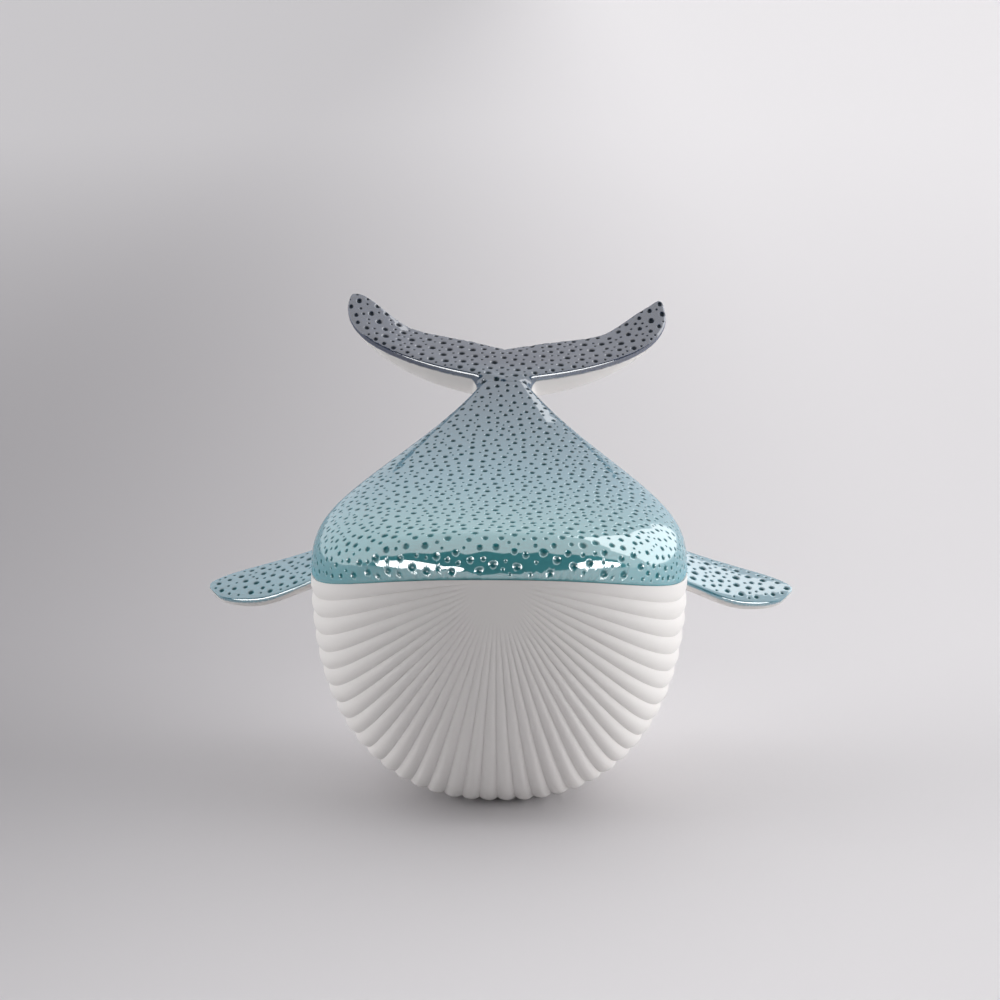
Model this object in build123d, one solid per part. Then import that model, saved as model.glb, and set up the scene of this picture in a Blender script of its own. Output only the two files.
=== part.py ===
from build123d import *
from math import cos, pi, radians, sin
import os

# A hollow slip-cast porcelain whale in millimetres.
# The head points to -Y, X is across the fins, and the foot stands on z = 0.
# "Back" below means a distance behind the chin.

# Body
chin_y = -100.0  # Y of the chin, which puts the foot under the origin
body_width = 192.0  # across the widest section
head_length = 85.0  # chin to the widest section
body_length = 205.0  # chin to the end of the tail stock
chin_height = 133.5  # height of the seam at the chin
seam_low = 115.5  # height of the seam at the widest section
crown_height = 19.5  # top of the head behind the lip, above the chin's seam
lip_length = 16.0  # chin to the crown, along the body
throat_length = 77.0  # chin to where the throat reaches the foot
foot_back = 114.0  # chin to where the belly lifts off the foot
foot_sink = 2.2  # depth ground off the belly to make the flat foot
stock_width = 31.0  # tail stock at its end
stock_top = 187.0
stock_seam = 178.0
stock_bottom = 147.0
head_power = 2.46  # exponents of the rounded outlines: 2 is an ellipse
throat_power = 2.77
lip_power = 2.0
back_power = 3.0
belly_power = 2.43

# Casting
wall = 4.5
seam_gap = 0.2  # film of slip between two castings
joint_clearance = 0.3  # round the tenons and the spigot
vent_diameter = 8.0

# Pleats of the throat and belly
pleat_count = 36
pleat_depth = 1.6
pleat_pitch = 9.3  # spacing at which the pleats have their full depth

# Pectoral fins
fin_back = 106.0  # middle of the fin's root
fin_height = 8.0  # seam down to the middle of the fin's root
fin_span = 62.0
fin_chord = 40.0
fin_droop = 13.5
fin_pitch = 11.0  # degrees, trailing edge up
fin_depth = 6.5  # thickness below the chord line
fin_crown = 2.6  # thickness above it
fin_edge = 1.4
tenon_width = 20.0
tenon_height = 4.0
tenon_grip = 9.0  # length inside the fin
tenon_end = 2.0  # length that stands out inside the body

# Tail flukes
fluke_reach = 91.5  # middle to the widest point of a lobe
fluke_turn = 105.0  # degrees that the leading edge turns through
fluke_sweep = 67.0  # leading edge runs back this far from the stock's end
fluke_lift = 0.4  # leading edge starts this far above the stock
fluke_rise = 36.0  # tip above the start of the leading edge
notch_back = 38.0  # notch behind the stock's end
notch_lift = 10.0  # notch above the stock
fluke_depth = 17.5  # thickness below the upper face, at the middle
fluke_crown = 2.8  # roll of the leading edge above the upper face
roll_start = 0.3  # share of a lobe in which the roll grows out of the neck
fluke_edge = 1.6
fluke_roll = 1.9  # degrees that the lobes sit askew, left lobe down
neck_length = 22.0  # stock's end to where the neck dies into the lobes
neck_flare = 5.0  # widening of the neck on each side
spigot_length = 14.0

# Widths across the castings that other sizes start from
half_body = body_width / 2
half_stock = stock_width / 2


def bulge(u, power):
    """Rounded quarter outline: 0 at u = 0, 1 from u = 1 on."""
    u = min(max(u, 0.0), 1.0)
    return (1 - (1 - u) ** power) ** (1 / power)


def half_width(back, inset):
    """Half width of the body at a distance behind the chin."""
    if back < head_length:
        return (half_body - inset) * bulge((back - inset) / (head_length - inset), head_power)
    u = (back - head_length) / (body_length - head_length)
    return half_body - inset - (half_body - half_stock) * (1.85 * u**2 - 0.85 * u**3)


def seam_height(back):
    """The seam droops from the chin to the widest section, then climbs to the tail."""
    if back < head_length:
        return seam_low + (chin_height - seam_low) * (1 - back / head_length) ** 2.4
    u = (back - head_length) / (body_length - head_length)
    return seam_low + (stock_seam - seam_low) * u**1.65


def top_height(back, inset):
    """Line of the back, from the chin over the lip to the tail stock."""
    crown = chin_height + crown_height
    crown += (stock_top - crown) * max(back / body_length, 0) ** 2.8
    lip = bulge((back - inset) / (lip_length - inset), lip_power)
    return chin_height + (crown - inset - chin_height) * lip


def bottom_height(back, inset):
    """Line of the throat and belly, with the part that is ground off for the foot."""
    floor = inset - foot_sink
    if back < throat_length:
        throat = bulge((back - inset) / (throat_length - inset), throat_power)
        return chin_height + (floor - chin_height) * throat
    u = max((back - foot_back) / (body_length - foot_back), 0)
    return floor + (stock_bottom + foot_sink) * (2.45 * u**2 - 1.45 * u**3)


def arch(width, seam, height, power, count):
    """Half of a rounded section, from -X to +X, as (x, z) points."""
    points = []
    for i in range(count + 1):
        angle = pi * i / count
        side = -1 if 2 * i < count else 1
        x = side * width * abs(cos(angle)) ** (2 / power)
        points.append((x, seam + height * abs(sin(angle)) ** (2 / power)))
    return points


def upper_arch(back, inset, shift=0, count=16):
    seam = seam_height(back) + shift
    return arch(half_width(back, inset), seam, top_height(back, inset) - seam, back_power, count)


def lower_arch(back, inset, shift=0, count=16):
    seam = seam_height(back) + shift
    return arch(half_width(back, inset), seam, bottom_height(back, inset) - seam, belly_power, count)


def pleated_arch(back, shift):
    """Valleys and crests of the pleats, spaced evenly along the lower arch."""
    fine = lower_arch(back, 0, shift, count=400)
    lengths = [0.0]
    for a, b in zip(fine, fine[1:]):
        lengths.append(lengths[-1] + ((b[0] - a[0]) ** 2 + (b[1] - a[1]) ** 2) ** 0.5)
    depth = pleat_depth * min(lengths[-1] / pleat_count / pleat_pitch, 1) ** 1.5
    points = []
    k = 0
    for i in range(2 * pleat_count + 1):
        goal = lengths[-1] * i / (2 * pleat_count)
        while k < len(fine) - 2 and lengths[k + 1] < goal:
            k += 1
        a, b = fine[k], fine[k + 1]
        run = lengths[k + 1] - lengths[k]
        along = (goal - lengths[k]) / run
        drop = depth if i % 2 == 0 else 0
        x = a[0] + (b[0] - a[0]) * along + drop * (a[1] - b[1]) / run
        z = a[1] + (b[1] - a[1]) * along + drop * (b[0] - a[0]) / run
        points.append((x, z))
    return points


def stations(start, end):
    """Distances behind the chin, close together at the blunt head and at the tail."""
    head = [start + (head_length - start) * (1 - cos(radians(a))) for a in (3, 9, 17, 26, 36, 47, 59, 74, 90)]
    tail = [head_length + (end - head_length) * sin(radians(a)) for a in (10, 22, 34, 46, 58, 69, 79, 90)]
    return head + tail


def at(back, points):
    """Section points as places in space."""
    return [Vector(x, chin_y + back, z) for x, z in points]


def pleats(back):
    """Pleats of one section as arcs, a valley at each end."""
    points = at(back, pleated_arch(back, -seam_gap / 2))
    return [ThreePointArc(*points[i : i + 3]) for i in range(0, 2 * pleat_count, 2)]


def back_face(back):
    points = at(back, upper_arch(back, 0, seam_gap / 2))
    return make_face([Spline(points), Line(points[-1], points[0])])


def chin_face(back):
    arcs = pleats(back)
    return make_face(arcs + [Line(arcs[-1] @ 1, arcs[0] @ 0)])


def trough_face(back):
    arcs = pleats(back)
    inside = at(back, lower_arch(back, wall, -seam_gap / 2))
    rims = [Line(arcs[-1] @ 1, inside[-1]), Line(inside[0], arcs[0] @ 0)]
    return make_face(arcs + rims + [Spline(inside)])


def ring_face(back, inset):
    top = Spline(at(back, upper_arch(back, inset)))
    bottom = Spline(at(back, lower_arch(back, inset)))
    return make_face([top, bottom])


# Back shell: lofted from the lip to the tail stock, then hollowed
back_shell = loft([back_face(t) for t in stations(0, body_length)])
back_shell -= loft([ring_face(t, wall) for t in stations(wall, body_length + wall)])

# Belly shell: a pleated trough whose front end is closed by the chin
chin_wall = 1.5 * wall
chin_backs = [t for t in stations(0, body_length) if t < chin_wall - 1] + [chin_wall]
trough_backs = [chin_wall] + [t for t in stations(0, body_length) if t > chin_wall + 1]
chin = loft([chin_face(t) for t in chin_backs])
trough = loft([trough_face(t) for t in trough_backs])
belly_shell = chin.fuse(trough, glue=True)

# Foot: the belly is ground flat and has the vent of a hollow casting
ground = Box(body_width, 2 * body_length, 4 * foot_sink, align=(Align.CENTER, Align.CENTER, Align.MAX))
vent = Pos(0, chin_y + head_length, 0) * Cylinder(vent_diameter / 2, 4 * wall)
belly_shell -= [ground, vent]


def blade_face(plane, chord, crown, depth, edge):
    """Section of a fin or a fluke: round in front, thin behind, full below."""
    heel = (chord, edge / 2)
    toe = (chord, -edge / 2)
    over = [(0, 0), (0.12 * chord, crown), (0.5 * chord, 0.75 * crown), heel]
    under = [toe, (0.62 * chord, -0.75 * depth), (0.25 * chord, -depth), (0, 0)]
    top = Spline(over, tangents=[(0, 1), (1, -0.1)])
    hull = Spline(under, tangents=[(-1, 0), (0, 1)])
    return plane * make_face([top, Line(heel, toe), hull])


def fin_plane(x, height, along=0):
    """Plane across a fin: its X runs back along the chord, its Y up."""
    chord = Vector(0, cos(radians(fin_pitch)), sin(radians(fin_pitch)))
    middle = Vector(x, chin_y + fin_back, height)
    return Plane(middle + chord * along, x_dir=chord, z_dir=(1, 0, 0))


# Left pectoral fin: lofted outwards from inside the flank and trimmed to it
flank_x = half_width(fin_back, 0)
root_z = seam_height(fin_back) - fin_height
inner_x = half_width(fin_back + fin_chord / 2, 0) - wall
fin_shares = [(inner_x - flank_x) / fin_span, 0.1, 0.3, 0.5, 0.66, 0.8, 0.9, 0.96, 0.99]
fin_faces = []
for s in fin_shares:
    size = (1 - max(s, 0) ** 3.2) ** 0.667
    chord = fin_chord * size
    plane = fin_plane(flank_x + fin_span * s, root_z - fin_droop * (1 - (1 - s) ** 2), -chord / 2)
    fin_faces.append(blade_face(plane, chord, fin_crown * size, fin_depth * size**0.7, fin_edge * size**0.3))
flanks = loft([ring_face(t, -seam_gap) for t in stations(-seam_gap, body_length)])
left_fin = loft(fin_faces) - flanks

# Tenons: in line with the fins, they pass through the belly's wall into sockets
fin_axis = Vector(fin_span, 0, -2 * fin_droop).normalized()
tenon_in = flank_x - half_width(fin_back + tenon_width / 2, 0) + wall + tenon_end
tenon_plane = fin_plane(flank_x, root_z - (fin_depth - fin_crown) / 2)
tenon_plane = Plane(tenon_plane.origin - fin_axis * tenon_in, x_dir=tenon_plane.x_dir, z_dir=fin_axis)
tenon = SlotOverall(tenon_width, tenon_height)
socket = SlotOverall(tenon_width + 2 * joint_clearance, tenon_height + 2 * joint_clearance)
left_fin += extrude(tenon_plane * tenon, tenon_in + tenon_grip)
left_socket = extrude(tenon_plane * socket, tenon_in + tenon_grip)
sockets = [left_socket, mirror(left_socket, Plane.YZ)]
belly_shell -= sockets
right_fin = mirror(left_fin, Plane.YZ)

# Tail flukes: one lobe is lofted from the middle to the tip and mirrored
stock_y = chin_y + body_length + seam_gap
notch = Vector(0, stock_y + notch_back, stock_top + notch_lift)


def leading_edge(s):
    x = fluke_reach * sin(radians(fluke_turn * s))
    return Vector(x, stock_y + fluke_sweep * s, stock_top + fluke_lift + fluke_rise * s**1.8)


def trailing_edge(s):
    run = leading_edge(1) - notch
    return notch + Vector(run.X * s, run.Y * s, run.Z * s**2.9)


def lobe_face(s):
    front = leading_edge(s)
    chord = trailing_edge(s) - front
    ahead = leading_edge(s + 0.01) - front + trailing_edge(s + 0.01) - trailing_edge(s)
    if s == 0:
        ahead = Vector(1, 0, 0)
    across = ahead - chord * (ahead.dot(chord) / chord.dot(chord))
    size = chord.length / (trailing_edge(0) - leading_edge(0)).length
    depth = fluke_edge + (fluke_depth - fluke_edge) * (1 - s**1.8) ** 1.9
    crown = fluke_crown * size * (0.1 + 0.9 * bulge(s / roll_start, 2))
    plane = Plane(front, x_dir=chord, z_dir=across)
    return blade_face(plane, chord.length, crown, depth, fluke_edge * size**0.3)


lobe = loft([lobe_face(s) for s in [0, 0.12, 0.25, 0.4, 0.55, 0.7, 0.82, 0.91, 0.97]])


def stem_face(back, width, top, seam, bottom):
    """Section of the neck or the spigot."""
    over = at(back, arch(width, seam, top - seam, back_power, 16))
    under = at(back, arch(width, seam, bottom - seam, belly_power, 16))
    return make_face([Spline(over), Spline(under)])


# Neck: it carries on from the stock's end, widens and dies into the lobes
neck_faces = []
neck_rise = notch_lift * neck_length / notch_back
for u in [0, 0.35, 0.7, 1]:
    width = half_stock + neck_flare * u**2
    top = stock_top + neck_rise * (1.6 * u - 0.6 * u**2)
    bottom = stock_bottom + (stock_top - fluke_depth / 2 - stock_bottom) * u**0.8
    seam = stock_seam + ((top + bottom) / 2 - stock_seam) * u
    neck_faces.append(stem_face(body_length + seam_gap + neck_length * u, width, top, seam, bottom))

# Spigot: it slides straight into the hollow stock and keeps clear of its sloping top
spigot_inset = wall + joint_clearance
spigot_faces = []
for u in [0, 0.5, 1]:
    back = body_length + seam_gap - (spigot_length + seam_gap) * u
    top = top_height(back, spigot_inset)
    seam = stock_seam - (stock_top - spigot_inset - top)
    spigot_faces.append(stem_face(back, half_stock - spigot_inset, top, seam, stock_bottom + spigot_inset))
neck = loft(neck_faces)
spigot = loft(spigot_faces)
lobes = (lobe + mirror(lobe, Plane.YZ)).rotate(Axis(notch, (0, 1, 0)), fluke_roll)
tail_flukes = lobes + [neck, spigot]

os.makedirs("parts", exist_ok=True)
nodes = {
    "back_shell": back_shell,
    "belly_shell": belly_shell,
    "left_pectoral_fin": left_fin,
    "right_pectoral_fin": right_fin,
    "tail_flukes": tail_flukes,
}
for name, node in nodes.items():
    export_step(node, f"parts/{name}.step")
    print(name, len(node.solids()), round(node.volume / 1000, 1), "cm3")
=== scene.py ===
import itertools
import math
import random

import bpy
import numpy as np
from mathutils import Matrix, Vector
from mathutils.geometry import delaunay_2d_cdt
from mathutils.kdtree import KDTree


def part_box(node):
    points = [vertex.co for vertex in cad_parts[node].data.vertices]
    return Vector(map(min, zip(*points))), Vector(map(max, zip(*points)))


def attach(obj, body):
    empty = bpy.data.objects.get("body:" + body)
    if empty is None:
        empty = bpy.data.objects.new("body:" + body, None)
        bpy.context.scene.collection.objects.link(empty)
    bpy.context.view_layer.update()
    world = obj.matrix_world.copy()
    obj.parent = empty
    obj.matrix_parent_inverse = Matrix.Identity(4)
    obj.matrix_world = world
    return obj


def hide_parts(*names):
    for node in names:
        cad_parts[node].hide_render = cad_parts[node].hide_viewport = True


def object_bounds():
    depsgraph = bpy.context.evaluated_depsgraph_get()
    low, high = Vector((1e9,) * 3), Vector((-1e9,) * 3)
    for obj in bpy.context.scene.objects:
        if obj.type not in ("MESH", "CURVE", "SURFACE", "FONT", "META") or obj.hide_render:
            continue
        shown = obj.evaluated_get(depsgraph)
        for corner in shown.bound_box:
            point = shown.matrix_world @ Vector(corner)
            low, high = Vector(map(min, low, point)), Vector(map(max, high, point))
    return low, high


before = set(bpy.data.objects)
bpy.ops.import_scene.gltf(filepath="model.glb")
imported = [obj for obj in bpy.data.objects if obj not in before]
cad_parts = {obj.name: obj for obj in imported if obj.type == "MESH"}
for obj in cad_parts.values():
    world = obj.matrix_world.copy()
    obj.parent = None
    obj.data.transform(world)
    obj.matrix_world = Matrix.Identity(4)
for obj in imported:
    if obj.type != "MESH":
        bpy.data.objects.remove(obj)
cad_low, cad_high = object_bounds()
bpy.ops.object.select_all(action="DESELECT")

# The belly shell is the lower casting: matt white porcelain bisque, pleated like a throat.
# It is slip cast, luted to the back shell along the seam and ground flat where it stands.
# Sizes here and below are in metres. A roundness of 2 gives an ellipse, and more is boxier.
back_low, back_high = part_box("back_shell")
chin_y = back_low.y
body_length = back_high.y - back_low.y
half_body = back_high.x
seam_low = back_low.z
stock_top = back_high.z
half_stock = 0.0155
stock_seam = 0.178
stock_bottom = 0.147
head_length = 0.085
head_roundness = 2.46
flank_taper = 1.85
chin_height = 0.1335
seam_droop = 2.4
seam_climb = 1.65
throat_length = 0.077
throat_roundness = 2.77
belly_roundness = 2.43
belly_rise = 2.45
foot_back = 0.114
foot_sink = 0.0022
pleat_count = 36
pleat_depth = 0.0016
pleat_pitch = 0.0093
plain_pitch = 0.0012
full_pitch = 0.0028
groove_sharpness = 2.2
seam_groove = 0.2
steps_per_pleat = 10
arch_steps = 1441
head_row_count = 71
tail_row_count = 57
merge_gap = 1e-6
crease_angle = math.radians(16)


def bulge(u, roundness):
    """Rounded quarter outline: 0 at u = 0, 1 from u = 1 on."""
    return (1 - (1 - np.clip(u, 0, 1)) ** roundness) ** (1 / roundness)


def smoothstep(x, low, high):
    """Goes from 0 at low to 1 at high, flat at both ends."""
    u = np.clip((x - low) / (high - low), 0, 1)
    return u * u * (3 - 2 * u)


def tail_share(back, start):
    """How far a place lies towards the tail: 0 up to the start, 1 at the end of the body."""
    return np.clip((back - start) / (body_length - start), 0, 1)


def ease(u, early):
    """Goes from 0 to 1 with u, flat at first, and the earlier the larger that value is."""
    return early * u**2 - (early - 1) * u**3


def half_width(back):
    """Half width of the body at distances behind the chin."""
    taper = (half_body - half_stock) * ease(tail_share(back, head_length), flank_taper)
    return half_body * bulge(back / head_length, head_roundness) - taper


def seam_height(back):
    """The seam droops from the chin to the widest section, then climbs to the tail."""
    droop = np.clip(1 - back / head_length, 0, 1) ** seam_droop
    climb = tail_share(back, head_length) ** seam_climb
    return seam_low + (chin_height - seam_low) * droop + (stock_seam - seam_low) * climb


def belly_height(back):
    """Line of the throat and belly, with the part that is ground off."""
    throat = chin_height - (chin_height + foot_sink) * bulge(back / throat_length, throat_roundness)
    return throat + (stock_bottom + foot_sink) * ease(tail_share(back, foot_back), belly_rise)


def running(steps):
    """Distance along a line at each of its points, from the lengths of its steps."""
    return np.concatenate([[0], np.cumsum(steps)])


def arches(back, height, roundness, columns):
    """Rounded half sections, evenly divided along their length, as rows of points."""
    angle = np.linspace(0, math.pi, arch_steps)
    side = -np.sign(np.cos(angle)) * np.abs(np.cos(angle)) ** (2 / roundness)
    rise = np.abs(np.sin(angle)) ** (2 / roundness)
    points = np.zeros((len(back), columns, 3))
    lengths = np.zeros(len(back))
    for row, (y, width, seam, top) in enumerate(zip(back, half_width(back), seam_height(back), height)):
        x = width * side
        z = seam + (top - seam) * rise
        run = running(np.hypot(np.diff(x), np.diff(z)))
        even = np.linspace(0, run[-1], columns)
        points[row, :, 0] = np.interp(even, run, x)
        points[row, :, 1] = chin_y + y
        points[row, :, 2] = np.interp(even, run, z)
        lengths[row] = run[-1]
    return points, lengths


def unit(vectors):
    """Vectors brought to a length of 1, where they have a length at all."""
    return vectors / (np.linalg.norm(vectors, axis=-1, keepdims=True) + 1e-15)


def surface_normals(points, up):
    """Unit normals of a grid of points; up says which way its middle faces."""
    normal = unit(np.cross(np.gradient(points, axis=1), np.gradient(points, axis=0)))
    middle = normal[normal.shape[0] // 2, normal.shape[1] // 2, 2]
    return normal * np.sign(middle * up)


head_rows = head_length * (1 - np.cos(np.linspace(0, math.pi / 2, head_row_count)))
tail_rows = np.linspace(head_length, body_length, tail_row_count)[1:]
belly_rows = np.concatenate([head_rows, tail_rows])
belly_columns = pleat_count * steps_per_pleat + 1
belly_points, belly_lengths = arches(belly_rows, belly_height(belly_rows), belly_roundness, belly_columns)
half_pleat = steps_per_pleat // 2
pleat_place = np.arange(belly_columns) / steps_per_pleat
groove = np.abs(2 * (pleat_place % 1.0) - 1) ** groove_sharpness
groove[:half_pleat] *= seam_groove
groove[-half_pleat:] *= seam_groove
pitch = belly_lengths / pleat_count
depth = pleat_depth * np.minimum(pitch / pleat_pitch, 1) * smoothstep(pitch, plain_pitch, full_pitch)
belly_points -= surface_normals(belly_points, -1) * (depth[:, None] * groove[None, :])[:, :, None]
belly_points[:, :, 2] = np.maximum(belly_points[:, :, 2], 0)
belly_points = np.concatenate([belly_points, belly_points[:, :1]], axis=1)

# The grid's sides meet across the hollow under the back, and its tail end is capped
bpy.ops.mesh.primitive_grid_add(x_subdivisions=belly_columns, y_subdivisions=len(belly_rows) - 1, size=1)
belly = bpy.context.object
belly.name = "belly"
belly.data.vertices.foreach_set("co", belly_points.reshape(-1))
bpy.ops.object.mode_set(mode="EDIT")
bpy.ops.mesh.select_all(action="SELECT")
bpy.ops.mesh.remove_doubles(threshold=merge_gap)
bpy.ops.mesh.select_all(action="DESELECT")
bpy.ops.mesh.select_mode(type="EDGE")
bpy.ops.mesh.select_non_manifold(extend=False)
bpy.ops.mesh.edge_face_add()
bpy.ops.mesh.select_all(action="SELECT")
bpy.ops.mesh.normals_make_consistent(inside=False)
bpy.ops.object.mode_set(mode="OBJECT")
bpy.ops.object.shade_smooth_by_angle(angle=crease_angle)

bisque_white = (0.80, 0.785, 0.765, 1)
bisque = bpy.data.materials.new("white_bisque")
bisque.use_nodes = True
clay = bisque.node_tree.nodes["Principled BSDF"]
clay.inputs["Base Color"].default_value = bisque_white
clay.inputs["Roughness"].default_value = 0.6
clay.inputs["Specular IOR Level"].default_value = 0.3
belly.data.materials.clear()
belly.data.materials.append(bisque)
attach(belly, "root")
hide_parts("belly_shell")

# The back shell is the upper casting: porcelain under a glossy lustre glaze, teal at the
# head and slate at the tail, with round dimples pressed into it before firing.
# It is rolled in along its edge, where it is luted to the belly.
crown_height = 0.153
crown_climb = 2.8
lip_length = 0.016
lip_roundness = 2.0
back_roundness = 3.0
roll_radius = 0.0038
roll_height = 0.0024
uneven = 0.00016
cross_wave = 410
spine_wave = 370
slanted_wave = (290, 530)
lip_zone = [0.025, 0.05]
wave_levels = [0.5, 0.1]
calm_edge = 0.004
spine_steps = 6001
spine_start = 0.0001
row_count = 480
column_count = 601


def top_height(back):
    """Line of the back, from the chin over the lip to the tail stock."""
    crown = crown_height + (stock_top - crown_height) * (back / body_length) ** crown_climb
    return chin_height + (crown - chin_height) * bulge(back / lip_length, lip_roundness)


# The dense grid that the back is read from, evenly divided along the spine
fine = body_length * np.linspace(0, 1, spine_steps) ** 2
spine = running(np.hypot(np.diff(fine), np.diff(top_height(fine))))
spine_length = spine[-1]
spine_rows = np.linspace(spine_start, spine_length, row_count)
dense_rows = np.interp(spine_rows, spine, fine)
dense, _ = arches(dense_rows, top_height(dense_rows), back_roundness, column_count)
above = dense[:, :, 2] - seam_height(dense_rows)[:, None]
outward = surface_normals(dense, 1)
outward[:, :, 2] = 0
tuck = roll_radius - np.sqrt(roll_radius**2 - np.clip(roll_height - above, 0, None) ** 2)
dense -= unit(outward) * tuck[:, :, None]
wave = np.sin(cross_wave * dense[:, :, 0] + 1) * np.sin(spine_wave * spine_rows + 2)[:, None]
wave += np.sin(slanted_wave[0] * dense[:, :, 0] - slanted_wave[1] * dense[:, :, 1])
wave *= np.interp(spine_rows, lip_zone, wave_levels)[:, None]
settled = uneven * (1 + wave) * np.clip(above / calm_edge, 0, 1)
dense -= surface_normals(dense, 1) * settled[:, :, None]
dense_normals = surface_normals(dense, 1)
across_rows = np.linalg.norm(np.diff(dense, axis=1), axis=2).sum(axis=1)


def on_back(spine_at, share, grid):
    """Reads a grid of the back at distances along the spine and shares across it."""
    short_of_end = 1.001
    i = (spine_at - spine_rows[0]) / (spine_rows[1] - spine_rows[0])
    i = np.clip(i, 0, row_count - short_of_end)
    j = np.clip(share * (column_count - 1), 0, column_count - short_of_end)
    i0, j0 = i.astype(int), j.astype(int)
    u, v = (i - i0)[:, None], (j - j0)[:, None]
    first = grid[i0, j0] * (1 - v) + grid[i0, j0 + 1] * v
    second = grid[i0 + 1, j0] * (1 - v) + grid[i0 + 1, j0 + 1] * v
    return first * (1 - u) + second * u


dimple_depth = 0.5
dimple_power = 1.25
lip_depth = 0.32
press_zone = [0.022, 0.045]
back_dimples = [(0.00175, 0.15, 0.0020), (0.00105, 0.25, 0.0015)]
back_seed = 7
dimple_rim = 0.0008
seam_rim = 0.001
search_cell = 0.004
pick_seed = 11
pick_count = 26000
pick_inset = 0.002
spine_growth = ([0, 0.03, 0.06, 0.15, spine_length], [1.2, 1.2, 1.0, 0.95, 0.85])
flank_growth = ([0.055, 0.085], [1.0, 0.8])


def scatter(points, margins, scales, sizes, seed):
    """Picks dimples from shuffled points, big ones first, none closer than its own room."""
    luck = random.Random(seed)
    order = [k for k in range(len(points)) if margins[k] > 0]
    luck.shuffle(order)
    near = list(itertools.product(range(-2, 3), repeat=3))
    taken = {}
    chosen = []
    for radius, spread, room in sizes:
        for k in order:
            size = radius * scales[k] * (1 + spread * (2 * luck.random() - 1))
            p = points[k]
            key = (int(p[0] // search_cell), int(p[1] // search_cell), int(p[2] // search_cell))
            if margins[k] < size + dimple_rim:
                continue
            others = (q for x, y, z in near for q in taken.get((key[0] + x, key[1] + y, key[2] + z), ()))
            if all(math.dist(p, q) > size + other + room for q, other in others):
                taken.setdefault(key, []).append((p, size))
                chosen.append((k, size, radius == sizes[0][0]))
    return chosen


# Dimples at random places all over the back. A size is a radius, its spread and its room
pick = np.random.default_rng(pick_seed)
pick_spine = pick.uniform(pick_inset, spine_length - pick_inset, pick_count)
pick_share = pick.uniform(0.0, 1.0, pick_count)
width_share = np.interp(pick_spine, spine_rows, across_rows) / across_rows.max()
keep = pick.uniform(0, 1, pick_count) < width_share
pick_spine, pick_share = pick_spine[keep], pick_share[keep]
pick_points = on_back(pick_spine, pick_share, dense)
seam_room = pick_points[:, 2] - seam_height(pick_points[:, 1] - chin_y) - seam_rim
edge_room = np.minimum(seam_room, spine_length - pick_spine)
grow = np.interp(pick_spine, *spine_growth) * np.interp(np.abs(pick_points[:, 0]), *flank_growth)
dimples = scatter(pick_points.tolist(), edge_room, grow.tolist(), back_dimples, back_seed)

# Rings of points round each dimple, as shares of its radius with a number of points
big_rings = [(0.0, 1), (0.4, 7), (0.72, 11), (0.93, 14), (1.1, 14)]
small_rings = [(0.0, 1), (0.55, 6), (0.9, 9), (1.15, 9)]
nudge = 0.0002
ring_spine, ring_share, ring_drop, ring_tilt, ring_pit = [], [], [], [], []
for k, radius, big in dimples:
    at, over = pick_spine[k : k + 1], pick_share[k : k + 1]
    across = float(np.interp(at[0], spine_rows, across_rows))
    normal = unit(on_back(at, over, dense_normals)[0])
    side = (on_back(at, over + nudge / across, dense)[0] - pick_points[k]) / nudge
    along = (on_back(at + nudge, over, dense)[0] - pick_points[k]) / nudge
    first = unit(side)
    second = np.cross(normal, first)
    to_sheet = np.linalg.inv(np.array([[side @ first, along @ first], [side @ second, along @ second]]))
    press = np.interp(at[0], press_zone, [lip_depth, dimple_depth])
    for ring, count in big_rings if big else small_rings:
        inside = max(1 - ring**2, 0)
        slope = -2 * dimple_power * press * ring * inside ** (dimple_power - 1) if inside else 0
        for step in range(count):
            turn = 2 * math.pi * (step + 0.5 * (count % 4)) / count
            d_side, d_along = to_sheet @ (radius * ring * np.array([math.cos(turn), math.sin(turn)]))
            ring_spine.append(at[0] + d_along)
            ring_share.append(over[0] + d_side / across)
            ring_drop.append(press * radius * inside**dimple_power)
            ring_tilt.append(slope * (math.cos(turn) * first + math.sin(turn) * second))
            ring_pit.append(max(1 - ring, 0))


def tree_of(points):
    """A search tree of points, numbered in their order."""
    tree = KDTree(len(points))
    for n, point in enumerate(points):
        tree.insert(point, n)
    tree.balance()
    return tree


# An even spread of points between the dimples, in rows that are shifted by half a step
sheet_step = 0.0017
row_rise = 0.866
rim_gap = 0.6
ring_reach = 1.15
ring_gap = 0.0005
widest_reach = 0.0036
fill_spine, fill_share = [], []
for row, at in enumerate(np.arange(sheet_step / 2, spine_length - sheet_step / 2, sheet_step * row_rise)):
    across = float(np.interp(at, spine_rows, across_rows))
    shift = 0.5 if row % 2 else 0.0
    run = (np.arange(int(across / sheet_step) + 1) + shift) * sheet_step
    run = run[(run > rim_gap * sheet_step) & (run < across - rim_gap * sheet_step)]
    fill_spine.extend([at] * len(run))
    fill_share.extend(run / across)
fill_spine, fill_share = np.array(fill_spine), np.array(fill_share)
dimple_tree = tree_of([pick_points[k] for k, _, _ in dimples])
clear = np.ones(len(fill_spine), bool)
for n, point in enumerate(on_back(fill_spine, fill_share, dense)):
    for _, m, distance in dimple_tree.find_range(point, widest_reach):
        if distance < ring_reach * dimples[m][1] + ring_gap:
            clear[n] = False
fill_spine, fill_share = fill_spine[clear], fill_share[clear]

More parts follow.
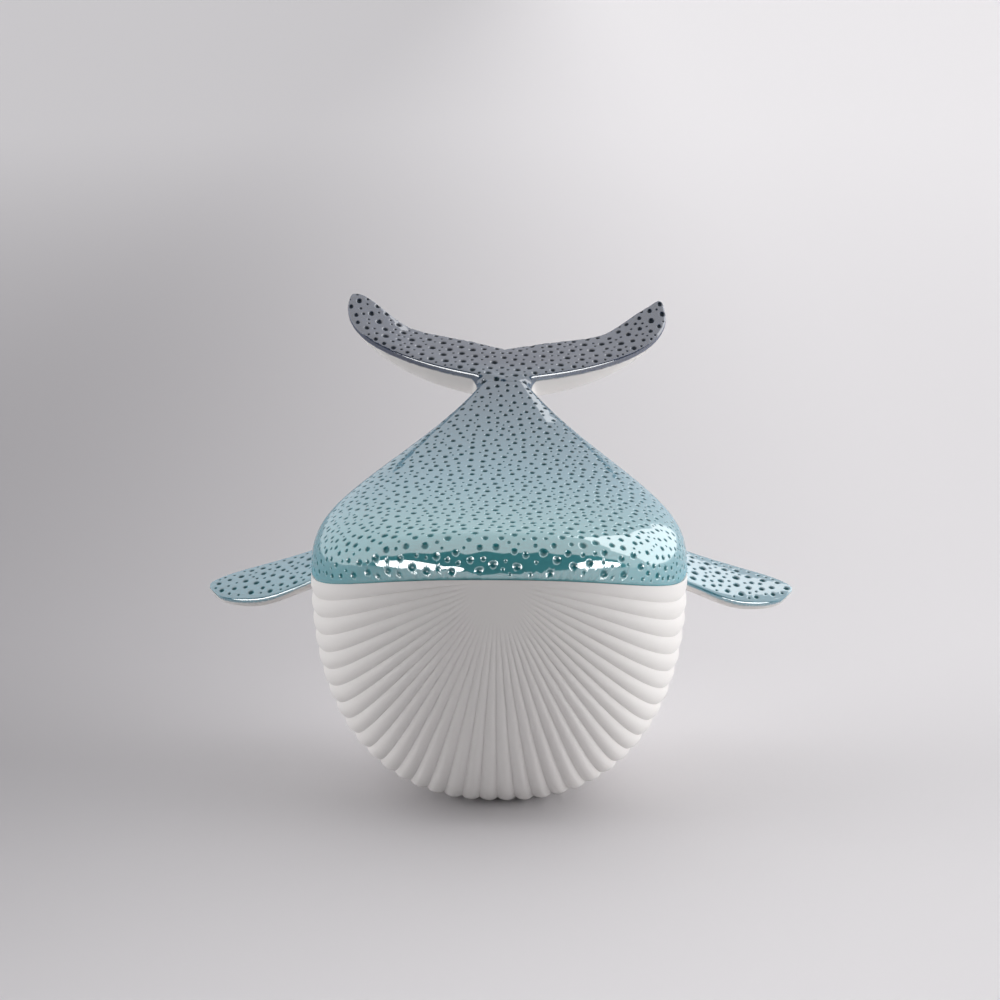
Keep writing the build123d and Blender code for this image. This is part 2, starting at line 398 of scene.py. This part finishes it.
# The rim: along the seam on one side, over the tail end and back along the other side
seam_step = 0.0012
end_count = 50
seam_line = on_back(spine_rows, np.zeros(row_count), dense)
seam_run = running(np.linalg.norm(np.diff(seam_line, axis=0), axis=1))
seam_spine = np.interp(np.arange(0, seam_run[-1], seam_step), seam_run, spine_rows)
seam_spine = np.append(seam_spine, spine_length)
seam_count = len(seam_spine)
end_share = np.linspace(0, 1, end_count)[1:-1]
rim_spine = np.concatenate([seam_spine, np.full(len(end_share), spine_length), seam_spine[::-1]])
rim_share = np.concatenate([np.zeros(seam_count), end_share, np.ones(seam_count)])
rim_count = len(rim_spine)

# All points are spread out flat and joined to triangles, then laid on the back and pressed in
same_place = 1e-7
fill_count = len(fill_spine)
all_spine = np.concatenate([rim_spine, ring_spine, fill_spine])
all_share = np.concatenate([rim_share, ring_share, fill_share])
drop = np.concatenate([np.zeros(rim_count), ring_drop, np.zeros(fill_count)])
tilt = np.concatenate([np.zeros((rim_count, 3)), ring_tilt, np.zeros((fill_count, 3))])
pit = np.concatenate([np.zeros(rim_count), ring_pit, np.zeros(fill_count)])
flat_x = (all_share - 0.5) * np.interp(all_spine, spine_rows, across_rows)
flat_points = [Vector(p) for p in np.stack([flat_x, all_spine], axis=1).tolist()]
joined = delaunay_2d_cdt(flat_points, [], [list(range(rim_count))], 1, same_place)
used = [sources[0] for sources in joined[3]]
order = np.array(used)
all_spine, all_share = all_spine[order], all_share[order]
drop, tilt, pit = drop[order], tilt[order], pit[order]
base_normal = unit(on_back(all_spine, all_share, dense_normals))
sheet = on_back(all_spine, all_share, dense) - base_normal * drop[:, None]
sheet_normal = unit(base_normal + tilt)

# The sheet is closed by strips from seam to seam and a cap at the tail end
where = {old: new for new, old in enumerate(used)}
left = [where[k] for k in range(seam_count)]
right = [where[rim_count - 1 - k] for k in range(seam_count)]
faces = [tuple(face) for face in joined[2]]
for k in range(seam_count - 1):
    faces.append((left[k], left[k + 1], right[k + 1], right[k]))
faces.append(tuple(where[k] for k in range(seam_count - 1, seam_count + len(end_share) + 1)))


def keep_share(mesh, name, shares):
    """Stores a share for each vertex, which the glaze reads."""
    mesh.attributes.new(name, "FLOAT", "POINT").data.foreach_set("value", shares)


back_mesh = bpy.data.meshes.new("back")
back_mesh.from_pydata(sheet.tolist(), [], faces)
back = bpy.data.objects.new("back", back_mesh)
bpy.context.collection.objects.link(back)
bpy.ops.object.select_all(action="DESELECT")
bpy.context.view_layer.objects.active = back
back.select_set(True)
bpy.ops.object.mode_set(mode="EDIT")
bpy.ops.mesh.select_all(action="SELECT")
bpy.ops.mesh.normals_make_consistent(inside=False)
bpy.ops.object.mode_set(mode="OBJECT")
bpy.ops.object.shade_smooth()
back_mesh.normals_split_custom_set_from_vertices(sheet_normal.tolist())
keep_share(back_mesh, "pit", pit)

# The glaze is darker and less shiny where it pools in a dimple, its colour there partly the pooled glaze
# and partly painted shade in the hollow, and it ends where clay is bare
head_teal = (0.070, 0.39, 0.43, 1)
waist_blue = (0.085, 0.30, 0.40, 1)
tail_slate = (0.035, 0.058, 0.115, 1)
# Painted shade: the dimple colours are darker than the glaze around, partly the glaze's own pooling and
# partly shade inside the hollows
pooled_shaded_teal = (0.014, 0.180, 0.205, 1)
pooled_shaded_slate = (0.003, 0.012, 0.024, 1)
tint_span = (-0.10, 0.13)
waist_place = 0.45
pool_shade_span = (0.02, 0.45)
lip_span = (-0.095, -0.075)
pool_coat_levels = (0.22, 0.04)
coat_levels = (1, 0.68)
whole = (0, 1)


def feed(tree, socket, value):
    """Links a socket to another node's output, or sets it to a plain value."""
    if isinstance(value, bpy.types.NodeSocket):
        tree.links.new(value, socket)
    else:
        socket.default_value = value


def remap(tree, value, span, levels, smooth=False):
    """Adds a node that goes from one level to another over a span of values."""
    step = tree.nodes.new("ShaderNodeMapRange")
    step.interpolation_type = "SMOOTHSTEP" if smooth else "LINEAR"
    names = ("Value", "From Min", "From Max", "To Min", "To Max")
    for name, number in zip(names, (value, *span, *levels)):
        feed(tree, step.inputs[name], number)
    return step.outputs["Result"]


def shade_along(tree, share, start, end, between=()):
    """Adds a colour ramp from one colour to another, with others between them."""
    shade = tree.nodes.new("ShaderNodeValToRGB")
    shade.color_ramp.elements[0].color = start
    shade.color_ramp.elements[1].color = end
    for at, colour in between:
        shade.color_ramp.elements.new(at).color = colour
    feed(tree, shade.inputs["Fac"], share)
    return shade.outputs["Color"]


def mix_colours(tree, share, first, second):
    """Adds a node that goes from the first colour to the second."""
    mix = tree.nodes.new("ShaderNodeMix")
    mix.data_type = "RGBA"
    feed(tree, mix.inputs[0], share)
    feed(tree, mix.inputs[6], first)
    feed(tree, mix.inputs[7], second)
    return mix.outputs[2]


def read_share(tree, name):
    """Adds a node that reads a share kept on the mesh."""
    attribute = tree.nodes.new("ShaderNodeAttribute")
    attribute.attribute_name = name
    return attribute.outputs["Fac"]


def object_places(tree):
    """Adds nodes that read places on the object, whole and as X, Y and Z."""
    coords = tree.nodes.new("ShaderNodeTexCoord")
    split = tree.nodes.new("ShaderNodeSeparateXYZ")
    tree.links.new(coords.outputs["Object"], split.inputs[0])
    return coords.outputs["Object"], split.outputs


glaze = bpy.data.materials.new("lustre_glaze")
glaze.use_nodes = True
shading = glaze.node_tree
shine = shading.nodes["Principled BSDF"]
_, axes = object_places(shading)
head_to_tail = remap(shading, axes["Y"], tint_span, whole)
pooled_and_shaded = remap(shading, read_share(shading, "pit"), pool_shade_span, whole, smooth=True)
bare = read_share(shading, "bare")
thin_colour = shade_along(shading, head_to_tail, head_teal, tail_slate, [(waist_place, waist_blue)])
pool_and_shade_colour = shade_along(shading, head_to_tail, pooled_shaded_teal, pooled_shaded_slate)
# Painted shade mixed into the dimples, the more the deeper a vertex sits in one, on top of the pooled
# glaze's colour
glaze_colour = mix_colours(shading, pooled_and_shaded, thin_colour, pool_and_shade_colour)
feed(shading, shine.inputs["Base Color"], mix_colours(shading, bare, glaze_colour, bisque_white))
pool_coat = remap(shading, axes["Y"], lip_span, pool_coat_levels)
thin_coat = remap(shading, head_to_tail, whole, coat_levels)
coat = remap(shading, pooled_and_shaded, whole, (thin_coat, pool_coat))
feed(shading, shine.inputs["Coat Weight"], remap(shading, bare, whole, (coat, 0)))
shine.inputs["Roughness"].default_value = 0.55
shine.inputs["Specular IOR Level"].default_value = 0.1
shine.inputs["Coat Roughness"].default_value = 0.04
shine.inputs["Coat IOR"].default_value = 3.3
back.data.materials.append(glaze)
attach(back, "root")
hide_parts("back_shell")

# The pectoral fins are two castings, glazed and dimpled on top and bare below.
# Each is luted to the flank with a tenon that sits in the belly's wall.
# Their front edge is rolled down and full, and they are rubbed smooth before glazing.
fin_voxel = 0.00045
fin_droop = 0.0026
fin_swell = 0.0011
fin_roll_start = (0.096, 0.126)
fin_roll_end = (0.1455, 0.1536)
fin_roll_share = 0.45
swell_span = (-0.2, 0.6)
root_strip = (0.104, 0.107)
root_end = (0.100, 0.104)
lump_spare = 0.0006
lump_cut = 0.85
fin_rubs = 14
fin_bare = (0.05, 0.2)
fin_dimples = [(0.0019, 0.2, 0.0024), (0.0011, 0.25, 0.0015)]
fin_steepest = 0.55
strip_width = 0.002
shortest_chord = 0.001
same_side = 0.3
closing_rounds = 3


def casting_from_cad(name, node, voxel):
    """Copies a CAD piece and remeshes it finely enough to take dimples."""
    bpy.ops.object.select_all(action="DESELECT")
    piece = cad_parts[node].copy()
    piece.data = piece.data.copy()
    piece.name = name
    bpy.context.collection.objects.link(piece)
    bpy.context.view_layer.objects.active = piece
    piece.select_set(True)
    bpy.ops.object.mode_set(mode="EDIT")
    bpy.ops.mesh.select_all(action="SELECT")
    bpy.ops.mesh.remove_doubles(threshold=merge_gap)
    bpy.ops.object.mode_set(mode="OBJECT")
    remesh = piece.modifiers.new("remesh", "REMESH")
    remesh.mode = "VOXEL"
    remesh.voxel_size = voxel
    bpy.ops.object.modifier_apply(modifier="remesh")
    bpy.ops.object.shade_smooth()
    return piece


def mesh_points(piece, what):
    """Reads the places or the normals of a casting's vertices."""
    values = np.empty(len(piece.data.vertices) * 3)
    piece.data.vertices.foreach_get(what, values)
    return values.reshape(-1, 3)


def move_points(piece, places):
    """Puts a casting's vertices at new places."""
    piece.data.vertices.foreach_set("co", places.reshape(-1))
    piece.data.update()


def soften(piece, shares, rounds):
    """Rubs a casting smooth, each vertex as much as its share says."""
    group = piece.vertex_groups.new(name="rubbed")
    for n, share in enumerate(shares):
        if share > 0:
            group.add([n], float(share), "REPLACE")
    rub = piece.modifiers.new("rub", "SMOOTH")
    rub.factor = 0.5
    rub.iterations = rounds
    rub.vertex_group = "rubbed"
    bpy.ops.object.modifier_apply(modifier="rub")
    piece.vertex_groups.clear()


def press_dimples(piece, seed, sizes, steepest, slack=0):
    """Presses dimples into the glazed side of a casting, clear of where it turns too steep."""
    points, normals = mesh_points(piece, "co"), mesh_points(piece, "normal")
    up = normals[:, 2]
    edges = tree_of(points[up < steepest])
    margins = [edges.find(p)[2] + slack if z > steepest else -1.0 for p, z in zip(points, up)]
    tree = tree_of(points)
    depths = np.zeros(len(points))
    pits = np.zeros(len(points))
    for k, radius, _ in scatter(points.tolist(), margins, [1.0] * len(points), sizes, seed):
        for _, n, distance in tree.find_range(points[k], radius):
            if normals[n] @ normals[k] > same_side:
                share = distance / radius
                press = dimple_depth * radius * max(1 - share**2, 0) ** dimple_power
                depths[n] = max(depths[n], press)
                pits[n] = max(pits[n], 1 - share)
    move_points(piece, points - normals * depths[:, None])
    keep_share(piece.data, "pit", pits)


def leave_bare(piece, shares):
    """Keeps which part of a casting is left bare, without pinholes, and glazes the rest."""
    ends = np.empty(len(piece.data.edges) * 2, int)
    piece.data.edges.foreach_get("vertices", ends)
    first, second = ends.reshape(-1, 2).T
    for take in [np.maximum] * closing_rounds + [np.minimum] * closing_rounds:
        before = shares.copy()
        take.at(shares, first, before[second])
        take.at(shares, second, before[first])
    keep_share(piece.data, "bare", shares)
    piece.data.materials.clear()
    piece.data.materials.append(glaze)


def edge_line(x, edge_x, values, furthest):
    """The furthest value in each narrow strip across a blade, read at each x."""
    strips = {}
    for strip, value in zip(np.round(edge_x / strip_width).astype(int).tolist(), values.tolist()):
        strips[strip] = furthest(strips.get(strip, value), value)
    order = sorted(strips)
    return np.interp(x, [strip_width * strip for strip in order], [strips[strip] for strip in order])


def chord_share(places):
    """How far back each vertex of a blade lies: 0 at its front edge, 1 at its back edge."""
    x, y = places[:, 0], places[:, 1]
    lead = edge_line(x, x, y, min)
    trail = edge_line(x, x, y, max)
    return np.clip((y - lead) / np.maximum(trail - lead, shortest_chord), 0, 1)


def fall(x, low, high):
    """Goes from 1 at low to 0 at high, flat at both ends."""
    return 1 - smoothstep(x, low, high)


for node, seed in (("left_pectoral_fin", 3), ("right_pectoral_fin", 5)):
    fin = casting_from_cad(node.replace("pectoral_", ""), node, fin_voxel)
    places = mesh_points(fin, "co")
    sideways = np.abs(places[:, 0])
    rolled = smoothstep(sideways, *fin_roll_start) * fall(sideways, *fin_roll_end)
    front = np.clip(1 - chord_share(places) / fin_roll_share, 0, 1) ** 2
    lower = smoothstep(-mesh_points(fin, "normal")[:, 2], *swell_span)
    places[:, 2] -= (fin_droop + fin_swell * lower) * front * rolled
    in_strip = (sideways > root_strip[0]) & (sideways < root_strip[1])
    back_edge = places[in_strip, 1].max()
    lump = np.clip(places[:, 1] - back_edge - lump_spare, 0, None) * fall(sideways, *root_end)
    places[:, 1] -= lump_cut * lump
    move_points(fin, places)
    soften(fin, np.ones(len(places)), fin_rubs)
    leave_bare(fin, smoothstep(-mesh_points(fin, "normal")[:, 2], *fin_bare))
    press_dimples(fin, seed, fin_dimples, fin_steepest)
    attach(fin, "root")
    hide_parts(node)

# The tail flukes are one casting with both lobes, plugged into the hollow tail stock.
# Their upper face is glazed and dimpled, and their underside is bare. They are rubbed
# smooth at the tips, at the front edge and where the lobes grow out of the stock.
fluke_voxel = 0.00055
tip_span = (0.074, 0.084)
tip_reach = 0.0012
tip_rise = 0.0010
joint_face = -0.001
joint_span = (0.0, 0.0015)
joint_close = 0.00022
lobe_start = (0.055, 0.078)
lobe_end = (0.086, 0.093)
lobe_rise = 0.0030
notch_half = 0.020
notch_end = (0.030, 0.060)
notch_rise = 0.0024
top_room = 0.0018
top_ease = 0.002
root_sides = (0.020, 0.036)
root_back = (0.022, 0.040)
root_top = (0.6, 0.85)
lobe_rub = (0.0006, 0.003)
lobe_rubs = 20
root_rub = (0.0008, 0.006)
root_rubs = 150
tip_rubs = 100
nose_rub = (0.004, 0.010)
nose_rubs = 60
nose_ahead = (0.1, 0.4)
nose_up = (-0.3, 0.0)
front_ahead = 0.5
front_upright = 0.35
front_clear = 0.001
neck_slope = 0.55
neck_sides = (0.0145, 0.0185)
glaze_below_crest = 0.0034
glaze_edge = (-0.0003, 0.0004)
glazed_top = (0.2, 0.4)
trailing_back = 0.03
trailing_bare = (-0.1, 0.05)
under_bare = (0.55, 0.75)
fluke_seed = 9
fluke_dimples = [(0.0020, 0.2, 0.0025), (0.0011, 0.25, 0.0015)]
fluke_steepest = 0.5
fluke_slack = 0.0012

flukes = casting_from_cad("flukes", "tail_flukes", fluke_voxel)
places = mesh_points(flukes, "co")
sideways = np.abs(places[:, 0])
behind = places[:, 1] - back_high.y
tips = smoothstep(sideways, *tip_span)
places[:, 0] += np.sign(places[:, 0]) * tip_reach * tips
places[:, 1] -= np.where(behind > joint_face, joint_close * fall(behind, *joint_span), 0)
places[:, 2] += tip_rise * tips
full = smoothstep(sideways, *lobe_start) * fall(sideways, *lobe_end)
beside_notch = np.clip(sideways / notch_half, 0, 1) * fall(sideways, *notch_end)
places[:, 2] += (lobe_rise * full + notch_rise * beside_notch) * chord_share(places) ** 2
over_top = places[:, 2] - (cad_high.z - top_room)
places[:, 2] -= np.where(over_top > 0, over_top - top_ease * (1 - np.exp(-over_top / top_ease)), 0)
move_points(flukes, places)
up = mesh_points(flukes, "normal")[:, 2]
root = fall(sideways, *root_sides) * fall(behind, *root_back) * fall(up, *root_top)
soften(flukes, smoothstep(behind, *lobe_rub), lobe_rubs)
soften(flukes, smoothstep(behind, *root_rub) * root, root_rubs)
soften(flukes, tips, tip_rubs)
turned = mesh_points(flukes, "normal")
nose = smoothstep(-turned[:, 1], *nose_ahead) * smoothstep(turned[:, 2], *nose_up)
soften(flukes, nose * smoothstep(behind, *nose_rub), nose_rubs)

# The glaze ends a little below the front edge, on the stock's seam and at the trailing edge
places, turned = mesh_points(flukes, "co"), mesh_points(flukes, "normal")
x, up = places[:, 0], turned[:, 2]
from_joint = places[:, 1] - back_high.y
front = (turned[:, 1] < -front_ahead) & (np.abs(up) < front_upright) & (from_joint > front_clear)
crest_line = edge_line(x, x[front], places[front, 2], max)
neck_line = stock_seam + neck_slope * from_joint
on_lobe = smoothstep(np.abs(x), *neck_sides)
glaze_line = neck_line * (1 - on_lobe) + (crest_line - glaze_below_crest) * on_lobe
below = smoothstep(glaze_line - places[:, 2], *glaze_edge) * fall(up, *glazed_top)
trailing = (turned[:, 1] > 0) & (behind > trailing_back)
below = np.where(trailing, smoothstep(-up, *trailing_bare), below)
leave_bare(flukes, np.maximum(below, smoothstep(-up, *under_bare)))
press_dimples(flukes, fluke_seed, fluke_dimples, fluke_steepest, fluke_slack)
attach(flukes, "root")
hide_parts("tail_flukes")

# The stage is one wide, plain table, no part of the figurine. Its colour is painted darker to the left,
# as shade from the light on the right, and paler to the right and towards the front. Far off it has a
# painted glow for the camera alone, and so meets the pale backdrop.
table_size = 30
# Painted shade and light: the table is darker on the left and paler on the right, standing in for the
# light from the right and its shadow
table_shaded_left = (0.42, 0.41, 0.425, 1)
table_lit_right = (0.91, 0.895, 0.91, 1)
tone_span = (-0.5, 0.35)
front_slant = -0.6
far_glow_span = (0.4, 3.5)
far_glow_levels = (0.22, 0.09)
studio_white = (1, 0.99, 1, 1)


def reckon(tree, operation, *values):
    """Adds a node that does one sum with plain values or other nodes' outputs."""
    step = tree.nodes.new("ShaderNodeMath")
    step.operation = operation
    for socket, value in zip(step.inputs, values):
        feed(tree, socket, value)
    return step.outputs[0]


bpy.ops.mesh.primitive_plane_add(size=table_size)
table = bpy.context.object
table.name = "table"
pale = bpy.data.materials.new("pale_table")
pale.use_nodes = True
tone = pale.node_tree
top = tone.nodes["Principled BSDF"]
top.inputs["Roughness"].default_value = 0.9
top.inputs["Specular IOR Level"].default_value = 0.1
table_place, axes = object_places(tone)
in_front = reckon(tone, "MINIMUM", axes["Y"], 0)
to_right = reckon(tone, "MULTIPLY_ADD", in_front, front_slant, axes["X"])
shade_to_light = remap(tone, to_right, tone_span, whole, smooth=True)
feed(tone, top.inputs["Base Color"], shade_along(tone, shade_to_light, table_shaded_left, table_lit_right))
away = tone.nodes.new("ShaderNodeVectorMath")
away.operation = "LENGTH"
feed(tone, away.inputs[0], table_place)
# Painted glow: far off the table emits light for the camera alone, more where its painted colour is
# darker
far_glow_level = remap(tone, shade_to_light, whole, far_glow_levels)
painted_far_glow = remap(tone, away.outputs["Value"], far_glow_span, (0, far_glow_level), smooth=True)
seen = tone.nodes.new("ShaderNodeLightPath").outputs["Is Camera Ray"]
top.inputs["Emission Color"].default_value = studio_white
feed(tone, top.inputs["Emission Strength"], reckon(tone, "MULTIPLY", painted_far_glow, seen))
table.data.materials.append(pale)

# The lamps are soft boxes that show in reflections alone: two low ones on either side of
# the camera, which make the bright shapes on the lip, and a large one behind on the right.
lip = (0, chin_y, chin_height)
middle = (0, 0, 0.1)


def soft_box(name, place, aim, size, power, shape):
    """Adds a soft lamp that looks at a point and shows as a reflection in the glaze."""
    lamp = bpy.data.lights.new(name, "AREA")
    lamp.shape = shape
    lamp.size, lamp.size_y = size
    lamp.energy = power
    box = bpy.data.objects.new(name, lamp)
    bpy.context.collection.objects.link(box)
    box.location = place
    box.rotation_euler = (Vector(aim) - Vector(place)).to_track_quat("-Z", "Y").to_euler()
    box.visible_camera = False
    box.visible_diffuse = False


soft_box("left_box", place=(-0.88, -1.27, 0.30), aim=lip, size=(1.45, 0.5), power=9, shape="ELLIPSE")
soft_box("right_box", place=(1.04, -1.14, 0.30), aim=lip, size=(0.95, 0.45), power=6, shape="ELLIPSE")
soft_box("right_key", place=(1.7, 1.2, 1.2), aim=middle, size=(3.0, 2.2), power=26, shape="RECTANGLE")

# The room gives the matt light: it is light all round but dark behind the camera, with a
# bright band low down on each side. What the glaze reflects of it has a sharper edge.
# Spans are shares of a direction's X, Y or Z, and levels are strengths.
backdrop_level = 0.75
side_tone = (0.95, 1.0)
gloss_lean = 0.7
gloss_wrap = 0.25
gloss_right = 0.05
gloss_span = (-0.05, 0.03)
gloss_levels = (0.03, 1)
matt_lean = 0.35
matt_span = (-0.1, 0.1)
matt_levels = (0.02, 0.95)
band_height = (0.2, 0.5)
band_front = (-0.5, -0.2)
band_back = (0, 0.3)
band_back_levels = (1, 0.35)
right_band = (0.7, 0.92)
right_band_levels = (0, 8.3)
left_band = (-0.92, -0.7)
left_band_levels = (5.8, 0)

world = bpy.data.worlds.new("studio")
bpy.context.scene.world = world
world.use_nodes = True
sky = world.node_tree
sky.nodes.clear()
toward = sky.nodes.new("ShaderNodeTexCoord")
axes = sky.nodes.new("ShaderNodeSeparateXYZ")
sky.links.new(toward.outputs["Generated"], axes.inputs[0])
x, y, z = axes.outputs
rays = sky.nodes.new("ShaderNodeLightPath").outputs


def choose(share, first, second):
    """Gives the first level where the share is 1 and the second where it is 0."""
    kept = reckon(sky, "MULTIPLY", first, share)
    rest = reckon(sky, "MULTIPLY", second, reckon(sky, "SUBTRACT", 1, share))
    return reckon(sky, "ADD", kept, rest)


left_to_right = remap(sky, x, (-1, 1), side_tone, smooth=True)
gloss_edge = reckon(sky, "MULTIPLY_ADD", z, gloss_lean, y)
gloss_edge = reckon(sky, "MULTIPLY_ADD", reckon(sky, "ABSOLUTE", x), gloss_wrap, gloss_edge)
gloss_edge = reckon(sky, "MULTIPLY_ADD", x, gloss_right, gloss_edge)
gloss_lit = remap(sky, gloss_edge, gloss_span, gloss_levels, smooth=True)
gloss_level = reckon(sky, "MULTIPLY", left_to_right, gloss_lit)
matt_edge = reckon(sky, "MULTIPLY_ADD", z, matt_lean, y)
matt_lit = remap(sky, matt_edge, matt_span, matt_levels, smooth=True)
matt_level = reckon(sky, "MULTIPLY", left_to_right, matt_lit)
low_down = remap(sky, z, band_height, (1, 0), smooth=True)
from_front = remap(sky, y, band_front, whole, smooth=True)
to_back = remap(sky, y, band_back, band_back_levels, smooth=True)
beside = reckon(sky, "MULTIPLY", low_down, reckon(sky, "MULTIPLY", from_front, to_back))
right_level = remap(sky, x, right_band, right_band_levels, smooth=True)
left_level = remap(sky, x, left_band, left_band_levels, smooth=True)
both_sides = reckon(sky, "ADD", right_level, left_level)
matt_level = reckon(sky, "MULTIPLY_ADD", both_sides, beside, matt_level)
level = choose(rays["Is Glossy Ray"], gloss_level, matt_level)
level = choose(rays["Is Camera Ray"], backdrop_level, level)
room = sky.nodes.new("ShaderNodeBackground")
room.inputs["Color"].default_value = studio_white
feed(sky, room.inputs["Strength"], level)
surroundings = sky.nodes.new("ShaderNodeOutputWorld")
sky.links.new(room.outputs[0], surroundings.inputs["Surface"])

# The camera looks at the face from a little above and a touch from one side, as in the
# photograph. The lens follows from how wide the picture is where the figurine stands.
eye_distance = 1.2
eye_elevation = math.radians(15)
eye_yaw = math.radians(-1.2)
look_at = Vector((0, 0, 0.14644))
picture_width = 0.518
sensor_width = 36
forward = Vector((
    math.sin(eye_yaw) * math.cos(eye_elevation),
    math.cos(eye_yaw) * math.cos(eye_elevation),
    -math.sin(eye_elevation),
))
view = bpy.data.cameras.new("view")
view.sensor_width = sensor_width
view.lens = sensor_width * eye_distance / picture_width
camera = bpy.data.objects.new("camera", view)
bpy.context.collection.objects.link(camera)
camera.location = look_at - forward * eye_distance
camera.rotation_euler = forward.to_track_quat("-Z", "Y").to_euler()
bpy.context.scene.camera = camera
bpy.context.scene.view_settings.view_transform = "Standard"
